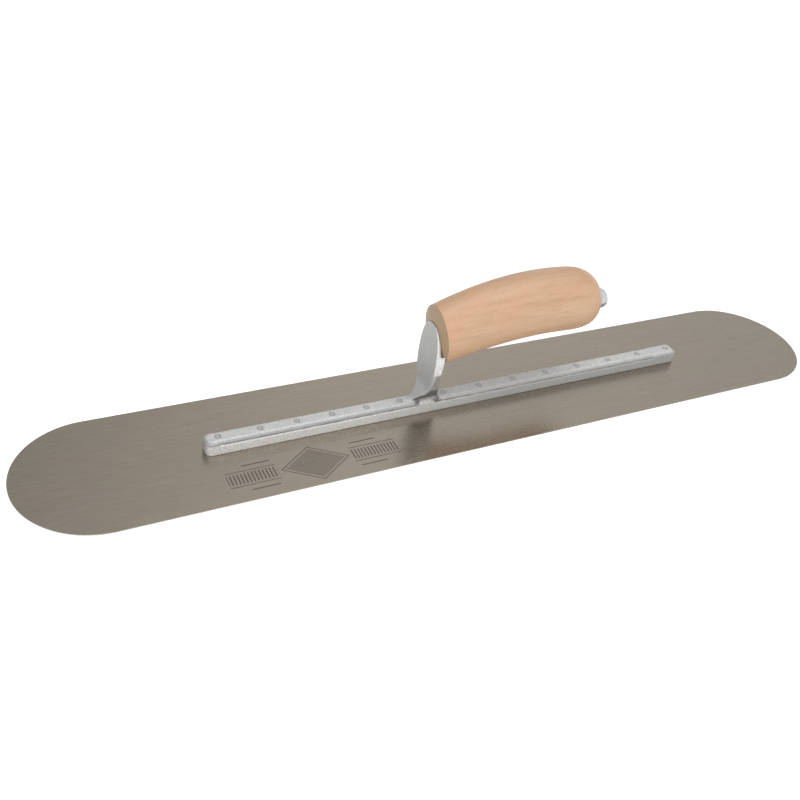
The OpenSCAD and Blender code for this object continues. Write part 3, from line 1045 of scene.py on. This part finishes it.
def rivet_metal():
    """Darker worked aluminium, with turned grinding marks and a dark rim on the flush end."""
    n = Nodes("rivet_metal")
    grain = n.noise(n.place(), 1900.0, 3.0)
    smear = n.noise(n.place(scale=(700, 3200, 700)), 1.0, 3.0)
    tone = n.math("ADD", n.math("MULTIPLY", grain, 0.5), n.math("MULTIPLY", smear, 0.5))
    colour = n.ramp(tone, (0.3, (0.31, 0.31, 0.31)), (0.7, (0.46, 0.46, 0.455)))
    axes = n.parts(n.add("ShaderNodeTexCoord").outputs["Generated"])
    squares = [n.math("POWER", n.math("SUBTRACT", axes[i], 0.5), 2.0) for i in (0, 1)]
    reach = n.math("SQRT", n.math("ADD", *squares))
    rim = RIVET_RADIUS / RIVET_HEAD / 2
    # Painted shade: the dark ring at the flush end's edge stands for the shadow in the gap round the
    # rivet.
    colour = n.mix(n.spread(reach, 0.78 * rim, 0.95 * rim, 0.0, 0.75), colour, (0.12, 0.12, 0.12))
    rough = n.spread(smear, 0.3, 0.7, 0.38, 0.55)
    normal = n.bump(smear, 0.3, 0.00006)
    return n.finish(Base_Color=colour, Metallic=0.6, Roughness=rough, Normal=normal)


def paint(piece, material):
    """Gives every slot of the piece one material."""
    if not piece.material_slots:
        piece.data.materials.append(material)
    for place in piece.material_slots:
        place.material = material


# ---------------------------------------------------------------- studio


def build_floor():
    """Plain pale floor that glows faintly, so that it stays white to its far edge."""
    reach = 6000.0
    below = -0.05
    bm = bmesh.new()
    corners = [(-reach, -reach), (reach, -reach), (reach, reach), (-reach, reach)]
    bm.faces.new([bm.verts.new((x, y, below)) for x, y in corners])
    floor = add_object("floor", bm)
    n = Nodes("pale_floor")
    cloud = n.noise(n.place(), 3.0, 2.0)
    colour = n.ramp(cloud, (0.3, (0.90, 0.90, 0.90)), (0.7, (0.93, 0.93, 0.93)))
    glow = {"Emission_Color": (1.0, 1.0, 1.0, 1.0), "Emission_Strength": 0.25}
    paint(floor, n.finish(Base_Color=colour, Roughness=0.9, **glow))


def area_light(name, place, aim, size, power):
    """A round soft lamp at a place, turned towards another, in metres and watts."""
    light = bpy.data.lights.new(name, "AREA")
    light.shape = "DISK"
    light.size = size
    light.energy = power
    lamp = bpy.data.objects.new(name, light)
    lamp.location = place
    lamp.rotation_euler = (Vector(aim) - Vector(place)).to_track_quat("-Z", "Y").to_euler()
    bpy.context.scene.collection.objects.link(lamp)


def build_light():
    """White surround, dimmer high up at the far left and right, with three soft lamps."""
    world = bpy.data.worlds.new("studio")
    world.use_nodes = True
    tree = world.node_tree
    towards = tree.nodes.new("ShaderNodeTexCoord").outputs["Generated"]

    def fade(value, low, high, at_low, at_high):
        """Maps low to at_low and high to at_high, smoothly."""
        node = tree.nodes.new("ShaderNodeMapRange")
        node.interpolation_type = "SMOOTHSTEP"
        tree.links.new(value, node.inputs[0])
        for index, number in zip((1, 2, 3, 4), (low, high, at_low, at_high)):
            node.inputs[index].default_value = number
        return node.outputs[0]

    def join(operation, a, b):
        node = tree.nodes.new("ShaderNodeMath")
        node.operation = operation
        tree.links.new(a, node.inputs[0])
        tree.links.new(b, node.inputs[1])
        return node.outputs[0]

    aim = tree.nodes.new("ShaderNodeVectorMath")
    aim.operation = "DOT_PRODUCT"
    aim.inputs[1].default_value = (0.8, -0.6, 0.0)
    tree.links.new(towards, aim.inputs[0])
    axes = tree.nodes.new("ShaderNodeSeparateXYZ")
    tree.links.new(towards, axes.inputs[0])
    far_left = fade(aim.outputs["Value"], -0.8, 0.0, DIM_LEFT, 1.0)
    right = fade(axes.outputs[0], 0.38, 0.95, 1.0, DIM_RIGHT)
    low = fade(axes.outputs[2], 0.12, 0.38, 1.0, 0.0)
    level = join("MAXIMUM", join("MULTIPLY", far_left, right), low)
    background = tree.nodes["Background"]
    background.inputs["Color"].default_value = (1, 1, 1, 1)
    tree.links.new(level, background.inputs["Strength"])
    bpy.context.scene.world = world
    area_light("overhead", (0.15, -0.35, 1.6), (0, 0, 0), 1.5, 14.0)
    area_light("from_front", (-0.5, -0.95, 0.35), (-0.15, 0, 0.01), 0.8, 3.0)
    area_light("from_left", (-1.5, -0.35, 0.3), (-0.05, 0, 0.05), 0.9, 3.2)


def build_camera():
    """The camera's angles, roll, lens and distance, with the blade's middle as origin."""
    azimuth, elevation, roll = (math.radians(a) for a in (-31.413, 36.833, 8.942))
    focal_share = 1.15676  # focal length over the picture's width
    unit = (BLADE_HIGH.y - BLADE_LOW.y) * MM
    side, lift, distance = 0.47137 * unit, 0.00982 * unit, 6.44032 * unit
    back = Vector((
        math.sin(azimuth) * math.cos(elevation),
        -math.cos(azimuth) * math.cos(elevation),
        math.sin(elevation),
    ))
    level = Vector((math.cos(azimuth), math.sin(azimuth), 0))
    upright = back.cross(level)
    right = math.cos(roll) * level + math.sin(roll) * upright
    up = -math.sin(roll) * level + math.cos(roll) * upright
    data = bpy.data.cameras.new("camera")
    data.sensor_width = 36.0
    data.lens = data.sensor_width * focal_share
    data.clip_start = 0.01
    camera = bpy.data.objects.new("camera", data)
    pose = Matrix((right, up, back)).transposed().to_4x4()
    pose.translation = distance * back - side * right - lift * up
    camera.matrix_world = pose
    bpy.context.scene.collection.objects.link(camera)
    bpy.context.scene.camera = camera


# ---------------------------------------------------------------- the tool


def build_tool():
    """Every piece with its material, riding on the tool. The CAD's stud stays, painted."""
    steel, cast, wood = blade_steel(), cast_aluminium(), beech()
    zinc = plated_steel("zinc_plate", (0.66, 0.70, 0.73), (0.50, 0.53, 0.56), 0.34)
    plain = plated_steel("plain_steel", (0.40, 0.40, 0.41), (0.28, 0.28, 0.29), 0.4)
    metal = rivet_metal()
    pieces = (
        (build_blade(), steel, "blade_steel", "blade"),
        (build_mounting(), cast, "cast_aluminium", "mounting"),
        (build_handle(), wood, "beech", "handle"),
        (build_washer(), zinc, "zinc_plate", "washer"),
        (build_nut(), zinc, "zinc_plate", "cap_nut"),
    )
    for piece, material, slot, node in pieces:
        paint(piece, material)
        settle(piece, node)
    for node in RIVETS:
        rivet = build_rivet(node)
        paint(rivet, metal)
        settle(rivet, node)
    paint(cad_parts["handle_stud"], plain)


bpy.context.scene.view_settings.view_transform = "Standard"
build_camera()
build_light()
build_floor()
build_tool()
